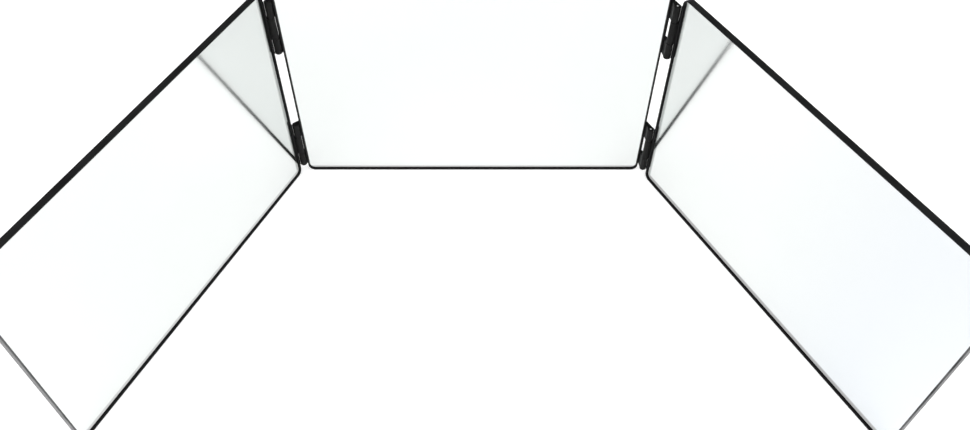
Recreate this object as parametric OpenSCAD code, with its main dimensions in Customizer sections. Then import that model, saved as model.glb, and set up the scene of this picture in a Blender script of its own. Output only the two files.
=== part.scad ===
// Three-way folding table mirror. Three framed mirrors stand on their lower edges and are
// joined by four pinned hinges. Each side mirror swings about a vertical axis. It folds flat
// onto the centre mirror, the left one first and the right one on top of it.
//
// The origin is the middle of the centre frame's lower face. +Z is up, the mirrors face -Y,
// and +X is the viewer's right.

/* [Panels] */
// Width of the centre panel
panel_w = 300; // [240:5:340]
// Width of the left panel, which folds in first
left_panel_w = 291; // [231:4:291]
// Width of the right panel
right_panel_w = 298.5; // [238.5:5:298.5]
// Height of every panel
panel_h = 197.5; // [177.5:2:300.5]
// Thickness of every panel, front of the frame to its back
panel_t = 5.1; // [4.8:0.1:6]
// Outer corner radius of a frame
corner_r = 6; // [5:0.5:10]
// Width of the frame's rim, round the glass
rim_w = 1.3; // [1.1:0.1:1.6]
// Height by which the rim stands proud of the glass
rim_t = 1.3; // [1:0.1:1.3]

/* [Mirror and backing] */
// Thickness of the mirror glass
glass_t = 1.8; // [1.5:0.1:1.8]
// Thickness of the foam pad behind the glass
pad_t = 0.5; // [0.5:0.1:0.6]
// Distance from the frame's outside to the inner edge of the rib that the glass rests on
rib_w = 3.2; // [2.6:0.1:3.6]
// Distance from the frame's outside to the edge of the foam pad
pad_margin = 5; // [4:0.5:6]

/* [Hinges] */
// Length of a hinge
hinge_len = 50; // [42:1:60]
// Distance from a hinge to the nearer end of the panel
hinge_inset = 9; // [8:1:16]
// Length of the middle knuckle, which belongs to the side panel
middle_len = 20; // [14:1:24]
// Diameter of a knuckle
barrel_d = 5.7; // [5:0.1:5.7]
// Diameter of a hinge pin
pin_d = 1.6; // [1.4:0.1:2]
// Distance from a hinge axis to the side of the centre panel
centre_gap = 3.4; // [3.3:0.1:3.8]
// Distance from a hinge axis to the side of its side panel
side_gap = 3.3; // [3.3:0.1:3.8]
// Distance from a hinge axis back to the front plane of its side panel
side_offset = 1.3; // [1.1:0.1:1.4]
// Gap between the centre and left frames when the left panel is folded
face_gap = 1.7; // [1.7:0.1:2.4]
// Gap between the left and right panels when both are folded
stack_gap = 0.5; // [0.5:0.1:1.5]
// Width of a hinge leaf's plate across the back of a panel
plate_w = 14; // [12:1:20]
// Thickness of a hinge leaf's plate
plate_t = 0.8; // [0.6:0.1:0.8]
// Diameter of a rivet's shank
rivet_d = 2; // [1.8:0.1:2.2]

/* [Pose] */
// Angle by which the left panel is folded forward from flat
left_fold = 64.7; // [0:0.1:180]
// Angle by which the right panel is folded forward from flat
right_fold = 61.7; // [0:0.1:180]

/* [Hidden] */

$fn = 64;

// Small fits and edge breaks
glass_fit = 0.2;      // glass and cover to the frame's wall
seat_fit = 0.1;       // round the edges of an inlaid hinge leaf
knuckle_fit = 0.25;   // end to end between knuckles
lip_fit = 0.1;        // radial, a side leaf's lip round the outer knuckles
pin_fit = 0.05;       // radial, pin in the middle knuckle
press_fit = 0.02;     // radial, pin in the outer knuckles
rivet_fit = 0.05;     // radial, rivet in its hole
front_round = 0.4;    // outer front edge of a frame
back_round = 0.3;     // outer back edge of a frame
rim_break = 0.15;     // inner front edge of a frame
barrel_break = 0.4;   // ends of a barrel
pin_break = 0.25;     // ends of a pin
cut = 1;              // how far a cutter runs past a face

// Hinge leaf
spine_t = rim_w - seat_fit;             // strip that fills a notch in the frame's wall
spine_front = 0.9;                      // depth at which the strip starts
plate_r = 3;                            // free corners of the plate
rivet_inset = 9;                        // rivets, from the panel's edge
rivet_end = 9;                          // rivets, from the ends of the leaf
rivet_head_d = rivet_d + 2 * plate_t;
rivet_tail_d = 3.2;
rivet_tail_t = 0.35;
tail_hole_d = 4.6;                      // clearance in the foam pad
outer_len = (hinge_len - middle_len) / 2;
barrel_r = barrel_d / 2;
web_sink = 0.5;                         // how far inside the barrel's surface a web runs
lip_back = 4.2;                         // depth at which a side leaf's lip ends
lip_turn = 57;                          // how far round the barrel the lip's tip reaches
proud_most = 0.9;                       // how far a centre leaf's strip stands out, at most
proud_fit = 0.15;                       // radial, that strip to the middle knuckle

// Upper ends of the pins, above the top knuckle
left_pin_top = -0.8;
right_pin_top = 0.2;

// Depths behind the front plane
glass_back = rim_t + glass_t;
cover_front = glass_back + pad_t;
plate_front = panel_t - plate_t;

// Hinge axes. The left axis lies just in front of the centre frame. The right axis stands
// further forward, by the left panel's thickness, so that the right panel closes over it.
front_y = -panel_t / 2;
left_reach = face_gap - side_offset;
right_reach = face_gap + panel_t + stack_gap - side_offset;
left_axis = [-panel_w / 2 - centre_gap, front_y - left_reach, 0];
right_axis = [panel_w / 2 + centre_gap, front_y - right_reach, 0];

hinge_z = [hinge_inset, panel_h - hinge_inset - hinge_len];
rivet_z = [rivet_end, hinge_len - rivet_end];

frame_colour = "#17181a";
cover_colour = "#222326";
leaf_colour = "#0f1011";
glass_colour = "#cfdcdc";
pad_colour = "#d9d8d2";
pin_colour = "#c4c7ca";
rivet_colour = "#3a3b3e";

// ---- Outlines, drawn as the panel is seen from the front ----

module rounded_rect(w, h, r) {
    translate([r, 0]) square([w - 2 * r, h]);
    translate([0, r]) square([w, h - 2 * r]);
    for (x = [r, w - r], y = [r, h - r]) translate([x, y]) circle(r);
}

// Outline of a sheet that lies inset from the outside of a w-wide frame
module inset_outline(w, inset) {
    translate([inset, inset])
        rounded_rect(w - 2 * inset, panel_h - 2 * inset, max(corner_r - inset, 1));
}

// Outline of one hinge leaf's plate, on the side of the panel at x = 0
module plate_outline(grow = 0) {
    r = plate_r + grow;
    w = plate_w + grow;
    translate([0, -grow]) square([w - r, hinge_len + 2 * grow]);
    translate([0, r - grow]) square([w, hinge_len + 2 * grow - 2 * r]);
    for (z = [r - grow, hinge_len + grow - r]) translate([w - r, z]) circle(r);
}

// Stands a front view upright and gives it the depth from d0 to d1 behind the front plane
module layer(d0, d1) {
    rotate([90, 0, 0]) translate([0, 0, -d1]) linear_extrude(d1 - d0) children();
}

// Repeats a child drawn for the x = 0 side at each hinge of a w-wide panel. A side panel has
// hinges on one side and the centre panel on both.
module at_hinges(w, both_sides) {
    for (z = hinge_z) {
        translate([0, 0, z]) children();
        if (both_sides) translate([w, 0, z]) mirror([1, 0, 0]) children();
    }
}

module at_rivets() {
    for (z = rivet_z) translate([rivet_inset, 0, z]) children();
}

// ---- Panel pieces, each with its front lower corner by the hinge at the origin ----

// Section of the frame. x runs inward from the outside and y runs towards the back as -depth.
function arc(c, r, from, to, steps = 6) =
    [for (i = [0:steps]) let (a = from + (to - from) * i / steps) c + r * [cos(a), sin(a)]];

frame_section = concat(
    arc([front_round, -front_round], front_round, 180, 90),
    [[rim_w - rim_break, 0], [rim_w, -rim_break]],
    [[rim_w, -glass_back], [rib_w, -glass_back], [rib_w, -cover_front], [rim_w, -cover_front]],
    [[rim_w, -panel_t]],
    arc([back_round, -panel_t + back_round], back_round, 270, 180)
);

module frame_rail(length) {
    rotate([90, 0, 90]) linear_extrude(length) polygon(frame_section);
}

module frame_corner() {
    rotate([0, 0, 180]) rotate_extrude(angle = 90)
        polygon([for (p = frame_section) [corner_r - p.x, p.y]]);
}

module frame_ring(w) {
    long = w - 2 * corner_r;
    tall = panel_h - 2 * corner_r;
    rotate([90, 0, 0]) {
        translate([corner_r, 0, 0]) frame_rail(long);
        translate([w - corner_r, panel_h, 0]) rotate([0, 0, 180]) frame_rail(long);
        translate([w, corner_r, 0]) rotate([0, 0, 90]) frame_rail(tall);
        translate([0, panel_h - corner_r, 0]) rotate([0, 0, -90]) frame_rail(tall);
        translate([corner_r, corner_r, 0]) frame_corner();
        translate([w - corner_r, corner_r, 0]) rotate([0, 0, 90]) frame_corner();
        translate([w - corner_r, panel_h - corner_r, 0]) rotate([0, 0, 180]) frame_corner();
        translate([corner_r, panel_h - corner_r, 0]) rotate([0, 0, -90]) frame_corner();
    }
}

// Notch for a leaf's strip through the wall of the frame, which leaves the rib whole
module leaf_seat() {
    translate([-cut, spine_front, -seat_fit])
        cube([cut + rim_w, panel_t, hinge_len + 2 * seat_fit]);
}

module panel_frame(w, both_sides = false) {
    color(frame_colour) difference() {
        frame_ring(w);
        at_hinges(w, both_sides) leaf_seat();
    }
}

module panel_mirror(w) {
    color(glass_colour) layer(rim_t, glass_back) inset_outline(w, rim_w + glass_fit);
}

module panel_pad(w, both_sides = false) {
    color(pad_colour) difference() {
        layer(glass_back, cover_front) inset_outline(w, pad_margin);
        at_hinges(w, both_sides) at_rivets()
            rotate([-90, 0, 0]) cylinder(h = panel_t, d = tail_hole_d);
    }
}

module panel_cover(w, both_sides = false) {
    color(cover_colour) difference() {
        layer(cover_front, panel_t) inset_outline(w, rim_w + glass_fit);
        at_hinges(w, both_sides) {
            layer(plate_front, panel_t + cut) plate_outline(seat_fit);
            at_rivets() rotate([-90, 0, 0]) cylinder(h = panel_t, d = rivet_d + 2 * rivet_fit);
        }
    }
}

// Outer shape of a rivet: a flush head, a shank and a clenched tail in the foam's hole.
// A positive grow makes the hole that it passes through, with no tail.
module rivet_body(grow = 0) {
    head_t = (rivet_head_d - rivet_d) / 2;
    translate([0, panel_t, 0]) rotate([90, 0, 0])
        cylinder(h = head_t, d1 = rivet_head_d + 2 * grow, d2 = rivet_d + 2 * grow);
    translate([0, cover_front - cut * sign(grow), 0]) rotate([-90, 0, 0])
        cylinder(h = panel_t - cover_front, d = rivet_d + 2 * grow);
}

module panel_rivets(w, both_sides = false) {
    color(rivet_colour) at_hinges(w, both_sides) at_rivets() {
        rivet_body();
        translate([0, cover_front, 0]) rotate([90, 0, 0])
            cylinder(h = rivet_tail_t, d = rivet_tail_d);
    }
}

// ---- Hinge pieces, drawn about the hinge axis with the leaf's panel towards +X ----
// gap is the distance from the axis to the side of the leaf's panel, and reach is the distance
// from the axis back to that panel's front plane.

// End inside the barrel of the web's face from p. turn is -1 for its front, 1 for its back.
function web_end(p, turn) =
    let (r = barrel_r - web_sink, a = atan2(p.y, p.x) + turn * acos(r / norm(p)))
    r * [cos(a), sin(a)];

// Barrel with broken ends, and the web that joins it to the side of the frame
module knuckle(gap, reach, z0, z1) {
    root_front = [gap, reach + spine_front];
    root_back = [gap, reach + panel_t];
    translate([0, 0, z0]) {
        rotate_extrude() polygon([
            [0, 0], [barrel_r - barrel_break, 0], [barrel_r, barrel_break],
            [barrel_r, z1 - z0 - barrel_break], [barrel_r - barrel_break, z1 - z0], [0, z1 - z0]
        ]);
        linear_extrude(z1 - z0)
            polygon([
                root_front, web_end(root_front, -1), [0, 0], web_end(root_back, 1), root_back
            ]);
    }
}

// Lip along the whole hinge, which closes the view between the panel and the outer knuckles
module gap_lip(gap, reach) {
    y = reach + spine_front;
    r = barrel_r + lip_fit;
    linear_extrude(hinge_len) polygon([
        [gap, y], [sqrt(r * r - y * y), y], r * [cos(lip_turn), sin(lip_turn)],
        [gap, reach + lip_back]
    ]);
}

// How far a centre leaf's strip can stand out of the frame's side and clear the middle knuckle
function strip_proud(reach) =
    let (r = barrel_r + proud_fit, y = reach + spine_front)
    min(proud_most, centre_gap - sqrt(max(0, r * r - y * y)));

// Strip in the notched side of the frame and plate across its back
module leaf_angle(proud) {
    translate([-proud, spine_front, 0])
        cube([spine_t + proud, panel_t - spine_front, hinge_len]);
    layer(plate_front, panel_t) plate_outline();
}

module hinge_leaf(gap, reach, spans, fit, proud = 0) {
    color(leaf_colour) difference() {
        union() {
            translate([gap, reach, 0]) leaf_angle(proud);
            for (s = spans) knuckle(gap, reach, s[0], s[1]);
            children();
        }
        translate([0, 0, -cut]) cylinder(h = hinge_len + 2 * cut, d = pin_d + 2 * fit);
        translate([gap, reach, 0]) at_rivets() rivet_body(rivet_fit);
    }
}

outer_spans = [[0, outer_len - knuckle_fit], [hinge_len - outer_len + knuckle_fit, hinge_len]];
middle_span = [[outer_len, hinge_len - outer_len]];

module centre_leaf(reach)
    hinge_leaf(centre_gap, reach, outer_spans, press_fit, strip_proud(reach));
module side_leaf()
    hinge_leaf(side_gap, side_offset, middle_span, pin_fit) gap_lip(side_gap, side_offset);

// Pin from the foot of the lowest knuckle to a height measured from the top of the highest
module hinge_pin(above) {
    r = pin_d / 2;
    top = hinge_len + above;
    color(pin_colour) rotate_extrude() polygon([
        [0, 0], [r - pin_break, 0], [r, pin_break],
        [r, top - pin_break], [r - pin_break, top], [0, top]
    ]);
}

// ---- Places ----

module place_centre() translate([-panel_w / 2, front_y, 0]) children();

// Turns a piece that is drawn towards +X from the axis with its side panel
module turn_left() translate(left_axis) rotate([0, 0, left_fold]) mirror([1, 0, 0]) children();
module turn_right() translate(right_axis) rotate([0, 0, -right_fold]) children();

module place_left() turn_left() translate([side_gap, side_offset, 0]) children();
module place_right() turn_right() translate([side_gap, side_offset, 0]) children();

module lift(level) translate([0, 0, hinge_z[level]]) children();

module centre_frame() place_centre() panel_frame(panel_w, true);
module centre_mirror() place_centre() panel_mirror(panel_w);
module centre_pad() place_centre() panel_pad(panel_w, true);
module centre_back_cover() place_centre() panel_cover(panel_w, true);
module centre_rivets() place_centre() panel_rivets(panel_w, true);

module left_frame() place_left() panel_frame(left_panel_w);
module left_mirror() place_left() panel_mirror(left_panel_w);
module left_pad() place_left() panel_pad(left_panel_w);
module left_back_cover() place_left() panel_cover(left_panel_w);
module left_rivets() place_left() panel_rivets(left_panel_w);

module right_frame() place_right() panel_frame(right_panel_w);
module right_mirror() place_right() panel_mirror(right_panel_w);
module right_pad() place_right() panel_pad(right_panel_w);
module right_back_cover() place_right() panel_cover(right_panel_w);
module right_rivets() place_right() panel_rivets(right_panel_w);

module left_centre_leaf(level) translate(left_axis) lift(level) centre_leaf(left_reach);
module left_side_leaf(level) turn_left() lift(level) side_leaf();
module left_pin(level) translate(left_axis) lift(level) hinge_pin(left_pin_top);

module right_centre_leaf(level)
    translate(right_axis) lift(level) mirror([1, 0, 0]) centre_leaf(right_reach);
module right_side_leaf(level) turn_right() lift(level) side_leaf();
module right_pin(level) translate(right_axis) lift(level) hinge_pin(right_pin_top);

centre_frame();
centre_mirror();
centre_pad();
centre_back_cover();
centre_rivets();
left_frame();
left_mirror();
left_pad();
left_back_cover();
left_rivets();
right_frame();
right_mirror();
right_pad();
right_back_cover();
right_rivets();
left_centre_leaf(1);  // left_upper_centre_leaf
left_side_leaf(1);  // left_upper_side_leaf
left_pin(1);  // left_upper_pin
left_centre_leaf(0);  // left_lower_centre_leaf
left_side_leaf(0);  // left_lower_side_leaf
left_pin(0);  // left_lower_pin
right_centre_leaf(1);  // right_upper_centre_leaf
right_side_leaf(1);  // right_upper_side_leaf
right_pin(1);  // right_upper_pin
right_centre_leaf(0);  // right_lower_centre_leaf
right_side_leaf(0);  // right_lower_side_leaf
right_pin(0);  // right_lower_pin
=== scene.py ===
"""Looks of the three-way folding table mirror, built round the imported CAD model."""
import math

import bpy
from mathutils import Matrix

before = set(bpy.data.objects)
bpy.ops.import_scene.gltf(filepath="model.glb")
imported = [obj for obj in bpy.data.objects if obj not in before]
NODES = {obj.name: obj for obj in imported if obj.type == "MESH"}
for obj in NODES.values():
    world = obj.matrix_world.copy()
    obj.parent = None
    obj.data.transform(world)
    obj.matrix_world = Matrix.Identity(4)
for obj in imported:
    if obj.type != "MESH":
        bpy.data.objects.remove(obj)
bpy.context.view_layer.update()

MM = 0.001
WHITE = (1.0, 1.0, 1.0, 1.0)
UP = (0.0, 0.0, 1.0)

# The camera stands in front of the centre mirror, above it, and looks down into it.
CAMERA_PLACE = (0.0042, -0.53965, 0.5931)
CAMERA_TILT = math.radians(90 - 50.81)
CAMERA_LENS = 32.344
CAMERA_SHIFT = 0.00767
SENSOR_WIDTH = 36.0
CLIP_NEAR, CLIP_FAR = 0.01, 50.0

# The room is white, with a round dark card behind the mirrors, CARD_RISE above the horizon.
# The card is darkest up to CARD_CORE from its middle, and fades into the room up to CARD_RIM.
ROOM_LIGHT, CARD_LIGHT = 1.7, 0.05
CARD_RISE = math.radians(52)
CARD_CORE, CARD_RIM = math.radians(22), math.radians(50)

# The floor glows evenly up to GLOW_NEAR from the middle, and not at all beyond GLOW_FAR.
FLOOR_SIZE = 60.0
FLOOR_GLOW = 0.3
GLOW_NEAR, GLOW_FAR = 0.6, 1.9

# Where each side panel starts and which way it runs from its hinges, seen from above.
SIDE_GAP = 3.3 * MM
LEFT_WIDTH, RIGHT_WIDTH = 291.0 * MM, 298.5 * MM
LEFT_AXIS, LEFT_FOLD = (-153.4 * MM, -2.95 * MM), math.radians(64.7)
RIGHT_AXIS, RIGHT_FOLD = (153.4 * MM, -8.55 * MM), math.radians(61.7)
LEFT_WAY = (-math.cos(LEFT_FOLD), -math.sin(LEFT_FOLD), 0.0)
RIGHT_WAY = (math.cos(RIGHT_FOLD), -math.sin(RIGHT_FOLD), 0.0)

# How far from the start of a side panel its mirror's painted reflection of the dark frame and its
# painted bluish reflection reach, how high the fade of the painted reflection at the foot is, and
# how deep the painted sheen on an outer end reaches.
HINGE_REFLECTION_FULL, HINGE_REFLECTION_GONE = 4.2 * MM, 6.2 * MM
BLUE_REFLECTION_FROM, BLUE_REFLECTION_TO = 130.0 * MM, 240.0 * MM
FOOT_REFLECTION_FADE = 1.8 * MM
END_SHEEN_GONE, END_SHEEN_FULL = 1.9 * MM, 1.2 * MM

# Colour sockets of a Mix node.
MIX_FIRST, MIX_SECOND, MIX_RESULT = 6, 7, 2


# ---- Camera ----

def make_camera():
    data = bpy.data.cameras.new("camera")
    data.lens = CAMERA_LENS
    data.sensor_width = SENSOR_WIDTH
    data.shift_x = CAMERA_SHIFT
    data.clip_start = CLIP_NEAR
    data.clip_end = CLIP_FAR
    camera = bpy.data.objects.new("camera", data)
    camera.location = CAMERA_PLACE
    camera.rotation_euler = (CAMERA_TILT, 0.0, 0.0)
    bpy.context.scene.collection.objects.link(camera)
    bpy.context.scene.camera = camera


# ---- Material nodes ----

def new_material(name, **inputs):
    """A material with one Principled shader, whose plain inputs are set by name."""
    material = bpy.data.materials.new(name)
    material.use_nodes = True
    tree = material.node_tree
    shader = tree.nodes["Principled BSDF"]
    for key, value in inputs.items():
        shader.inputs[key.replace("_", " ")].default_value = value
    return material, tree, shader


def object_point(tree, stretch=(1.0, 1.0, 1.0)):
    """The surface point in the object's own metres, with each axis stretched."""
    place = tree.nodes.new("ShaderNodeTexCoord").outputs["Object"]
    mapping = tree.nodes.new("ShaderNodeMapping")
    mapping.inputs["Scale"].default_value = stretch
    tree.links.new(place, mapping.inputs["Vector"])
    return mapping.outputs["Vector"]


def noise(tree, point, scale, detail=4.0, rough=0.55):
    node = tree.nodes.new("ShaderNodeTexNoise")
    node.inputs["Scale"].default_value = scale
    node.inputs["Detail"].default_value = detail
    node.inputs["Roughness"].default_value = rough
    tree.links.new(point, node.inputs["Vector"])
    return node.outputs["Fac"]


def spread(tree, value, low, high, out_low, out_high):
    """Maps value from low..high to out_low..out_high, clamped."""
    node = tree.nodes.new("ShaderNodeMapRange")
    limits = {"From Min": low, "From Max": high, "To Min": out_low, "To Max": out_high}
    for key, number in limits.items():
        node.inputs[key].default_value = number
    tree.links.new(value, node.inputs["Value"])
    return node.outputs["Result"]


def two_tone(tree, value, dark, light, low=0.35, high=0.65):
    """A colour that goes from dark at the value low to light at high."""
    ramp = tree.nodes.new("ShaderNodeValToRGB")
    for stop, place, colour in zip(ramp.color_ramp.elements, (low, high), (dark, light)):
        stop.position = place
        stop.color = (*colour, 1.0)
    tree.links.new(value, ramp.inputs["Fac"])
    return ramp.outputs["Color"]


def bump(tree, shader, height, strength, depth):
    node = tree.nodes.new("ShaderNodeBump")
    node.inputs["Strength"].default_value = strength
    node.inputs["Distance"].default_value = depth
    tree.links.new(height, node.inputs["Height"])
    tree.links.new(node.outputs["Normal"], shader.inputs["Normal"])


def along(tree, vector, way):
    """How far the vector runs in the direction of way."""
    node = tree.nodes.new("ShaderNodeVectorMath")
    node.operation = "DOT_PRODUCT"
    node.inputs[1].default_value = way
    tree.links.new(vector, node.inputs[0])
    return node.outputs["Value"]


def mix_colour(tree, factor, first, second):
    """Goes from the first colour at factor 0 to the second at 1. Each is a tuple or a socket."""
    node = tree.nodes.new("ShaderNodeMix")
    node.data_type = "RGBA"
    tree.links.new(factor, node.inputs["Factor"])
    for index, colour in ((MIX_FIRST, first), (MIX_SECOND, second)):
        if isinstance(colour, tuple):
            node.inputs[index].default_value = (*colour, 1.0)
        else:
            tree.links.new(colour, node.inputs[index])
    return node.outputs[MIX_RESULT]


def set_colour(tree, shader, colour):
    tree.links.new(colour, shader.inputs["Base Color"])


def set_rough(tree, shader, value, low, high, smooth, coarse):
    """Roughness that goes from smooth at the value low to coarse at high."""
    tree.links.new(spread(tree, value, low, high, smooth, coarse), shader.inputs["Roughness"])


# ---- Materials ----

def panel_start(axis, way):
    """How far along way a side panel starts that is hinged at axis."""
    return sum(a * w for a, w in zip(axis, way)) + SIDE_GAP


def painted_end_sheen(tree, point, colour, end, way):
    """Paints a lighter, uneven sheen on the outer end of a side panel: a painted sheen standing
    in for its glossy end reflecting the bright room.

    The end lies at the distance end along way. Its outward face is the lightest, a painted
    highlight."""
    sheen_noise = noise(tree, point, scale=28.0, detail=2.0)
    facing = tree.nodes.new("ShaderNodeTexCoord").outputs["Normal"]
    on_rim = two_tone(tree, sheen_noise, dark=(0.025, 0.026, 0.027), light=(0.085, 0.085, 0.087),
                      low=0.38, high=0.52)
    on_face = two_tone(tree, sheen_noise, dark=(0.08, 0.081, 0.083), light=(0.145, 0.145, 0.147),
                       low=0.38, high=0.52)
    # The outward face gets the most painted sheen.
    outward = spread(tree, along(tree, facing, way), 0.75, 0.98, 0.0, 1.0)
    painted_sheen_colour = mix_colour(tree, outward, on_rim, on_face)
    near_end = spread(tree, along(tree, point, way), end - END_SHEEN_GONE, end - END_SHEEN_FULL, 0.0, 1.0)
    return mix_colour(tree, near_end, colour, painted_sheen_colour)


def moulded_plastic(name, dark, light, grain, grain_depth, rough, sheen=0.12, end=None, way=None):
    """Black moulded plastic: fine eroded grain, and a sheen that varies a little.

    A side frame's outer end, at the distance end along way, is painted lighter, a painted sheen."""
    material, tree, shader = new_material(name, IOR=1.5, Specular_IOR_Level=sheen)
    point = object_point(tree)
    mottle = noise(tree, point, scale=60.0)
    colour = two_tone(tree, mottle, dark, light)
    # Painted sheen: a side frame's outer end is painted lighter, standing in for its glossy face
    # reflecting the room.
    if way:
        colour = painted_end_sheen(tree, point, colour, end, way)
    set_colour(tree, shader, colour)
    set_rough(tree, shader, mottle, 0.3, 0.7, *rough)
    bump(tree, shader, noise(tree, point, grain, detail=2.0), strength=0.35, depth=grain_depth)
    return material


def mirror_silver(name, foot_reflection_end, foot_reflection_grey, axis=None, way=None, reflected_tint=None):
    """Silvered glass, a little soft, with a darker margin, a painted reflection of the dark frame
    in the glass edge.

    The painted reflection fades out at foot_reflection_end above the ground. A side mirror, which
    runs along way from its hinge axis, also has one by its hinges. Its outer part may have a
    faint painted bluish reflection, reflected_tint."""
    material, tree, shader = new_material(name, Metallic=1.0)
    point = object_point(tree)
    film = noise(tree, point, scale=9.0, detail=3.0)
    colour = two_tone(tree, film, dark=(0.754, 0.771, 0.764), light=(0.762, 0.780, 0.772))
    if way:
        start = panel_start(axis, way)
        reach = along(tree, point, way)
        # Painted reflection: a faint bluish tint painted on the outer part of the mirror.
        if reflected_tint:
            outer = spread(tree, reach, start + BLUE_REFLECTION_FROM, start + BLUE_REFLECTION_TO, 0.0, 1.0)
            colour = mix_colour(tree, outer, colour, reflected_tint)
        # Painted reflection: the mirror is painted darker by the hinges, standing in for the dark
        # frame's blurred reflection.
        painted_hinge_reflection = spread(tree, reach, start + HINGE_REFLECTION_FULL, start + HINGE_REFLECTION_GONE,
                           1.0, 0.0)
        colour = mix_colour(tree, painted_hinge_reflection, colour, (0.36, 0.37, 0.365))
    # Painted reflection: the mirror is painted darker at the foot, standing in for the dark
    # frame's reflection in the glass edge.
    height = along(tree, point, UP)
    painted_foot_reflection = spread(tree, height, foot_reflection_end - FOOT_REFLECTION_FADE, foot_reflection_end, 1.0, 0.0)
    set_colour(tree, shader, mix_colour(tree, painted_foot_reflection, colour, (foot_reflection_grey, foot_reflection_grey, foot_reflection_grey)))
    set_rough(tree, shader, film, 0.4, 0.8, 0.061, 0.076)
    return material


def drawn_steel():
    """Bright steel with fine streaks along the pin."""
    material, tree, shader = new_material("pin_steel", Metallic=1.0)
    streak = noise(tree, object_point(tree, stretch=(1.0, 1.0, 0.05)), scale=5000.0, detail=2.0)
    set_colour(tree, shader, two_tone(tree, streak, dark=(0.66, 0.67, 0.68),
                                      light=(0.8, 0.81, 0.82)))
    set_rough(tree, shader, streak, 0.3, 0.7, 0.16, 0.3)
    return material


def dull_aluminium():
    material, tree, shader = new_material("rivet_metal", Metallic=1.0)
    blotch = noise(tree, object_point(tree), scale=1500.0)
    set_colour(tree, shader, two_tone(tree, blotch, dark=(0.5, 0.5, 0.51),
                                      light=(0.68, 0.68, 0.69)))
    set_rough(tree, shader, blotch, 0.3, 0.7, 0.3, 0.5)
    bump(tree, shader, blotch, strength=0.2, depth=0.05 * MM)
    return material


def foam_sheet():
    material, tree, shader = new_material("foam", Roughness=0.95)
    cells = noise(tree, object_point(tree), scale=2200.0, detail=3.0)
    set_colour(tree, shader, two_tone(tree, cells, dark=(0.6, 0.59, 0.56),
                                      light=(0.76, 0.75, 0.72)))
    bump(tree, shader, cells, strength=0.5, depth=0.15 * MM)
    return material


def finish_nodes():
    """Gives each CAD node the material of the first name ending that it has."""
    black = {"dark": (0.004, 0.004, 0.0045), "light": (0.008, 0.008, 0.0085),
             "grain": 1800.0, "grain_depth": 0.03 * MM, "rough": (0.34, 0.46)}
    left_end = panel_start(LEFT_AXIS, LEFT_WAY) + LEFT_WIDTH
    right_end = panel_start(RIGHT_AXIS, RIGHT_WAY) + RIGHT_WIDTH
    finishes = {
        "centre_frame": moulded_plastic("centre_frame_plastic", **black),
        "left_frame": moulded_plastic("left_frame_plastic", **black, end=left_end, way=LEFT_WAY),
        "right_frame": moulded_plastic("right_frame_plastic", **black,
                                       end=right_end, way=RIGHT_WAY),
        # The mirrors' darker foot margins are painted reflections of the dark frame; the right
        # mirror's tint is a painted bluish reflection.
        "centre_mirror": mirror_silver("centre_mirror", foot_reflection_end=5.2 * MM, foot_reflection_grey=0.4),
        "left_mirror": mirror_silver("left_mirror", foot_reflection_end=7.0 * MM, foot_reflection_grey=0.53,
                                     axis=LEFT_AXIS, way=LEFT_WAY),
        "right_mirror": mirror_silver("right_mirror", foot_reflection_end=7.4 * MM, foot_reflection_grey=0.38,
                                      axis=RIGHT_AXIS, way=RIGHT_WAY,
                                      reflected_tint=(0.712, 0.736, 0.755)),
        "_leaf": moulded_plastic("hinge_plastic", dark=(0.003, 0.003, 0.003),
                                 light=(0.006, 0.006, 0.006), grain=2600.0,
                                 grain_depth=0.02 * MM, rough=(0.3, 0.4), sheen=0.1),
        "_back_cover": moulded_plastic("cover_plastic", dark=(0.014, 0.014, 0.015),
                                       light=(0.024, 0.024, 0.026), grain=420.0,
                                       grain_depth=0.5 * MM, rough=(0.42, 0.6), sheen=0.5),
        "_pad": foam_sheet(),
        "_pin": drawn_steel(),
        "_rivets": dull_aluminium(),
    }
    for name, piece in NODES.items():
        material = next(m for ending, m in finishes.items() if name.endswith(ending))
        piece.data.materials.clear()
        piece.data.materials.append(material)


# ---- Studio ----

def make_floor():
    """A white table top that glows a little round the mirrors, so that shadows stay faint."""
    half = FLOOR_SIZE / 2
    mesh = bpy.data.meshes.new("floor")
    corners = [(-half, -half, 0.0), (half, -half, 0.0), (half, half, 0.0), (-half, half, 0.0)]
    mesh.from_pydata(corners, [], [(0, 1, 2, 3)])
    floor = bpy.data.objects.new("floor", mesh)
    material, tree, shader = new_material("floor", Base_Color=(0.9, 0.9, 0.9, 1.0),
                                          Roughness=0.9, Specular_IOR_Level=0.2,
                                          Emission_Color=WHITE)
    away = tree.nodes.new("ShaderNodeVectorMath")
    away.operation = "LENGTH"
    tree.links.new(object_point(tree), away.inputs[0])
    glow = spread(tree, away.outputs["Value"], GLOW_NEAR, GLOW_FAR, FLOOR_GLOW, 0.0)
    tree.links.new(glow, shader.inputs["Emission Strength"])
    mesh.materials.append(material)
    bpy.context.scene.collection.objects.link(floor)


def make_light():
    """An even white room, with the dark card that the mirrors' tops reflect."""
    world = bpy.data.worlds.new("studio")
    world.use_nodes = True
    tree = world.node_tree
    sky = tree.nodes["Background"]
    sky.inputs["Color"].default_value = WHITE
    way = tree.nodes.new("ShaderNodeTexCoord").outputs["Generated"]
    near = along(tree, way, (0.0, math.cos(CARD_RISE), math.sin(CARD_RISE)))
    strength = spread(tree, near, math.cos(CARD_RIM), math.cos(CARD_CORE),
                      ROOM_LIGHT, CARD_LIGHT)
    tree.links.new(strength, sky.inputs["Strength"])
    bpy.context.scene.world = world
    bpy.context.scene.view_settings.view_transform = "Standard"


make_camera()
finish_nodes()
make_floor()
make_light()
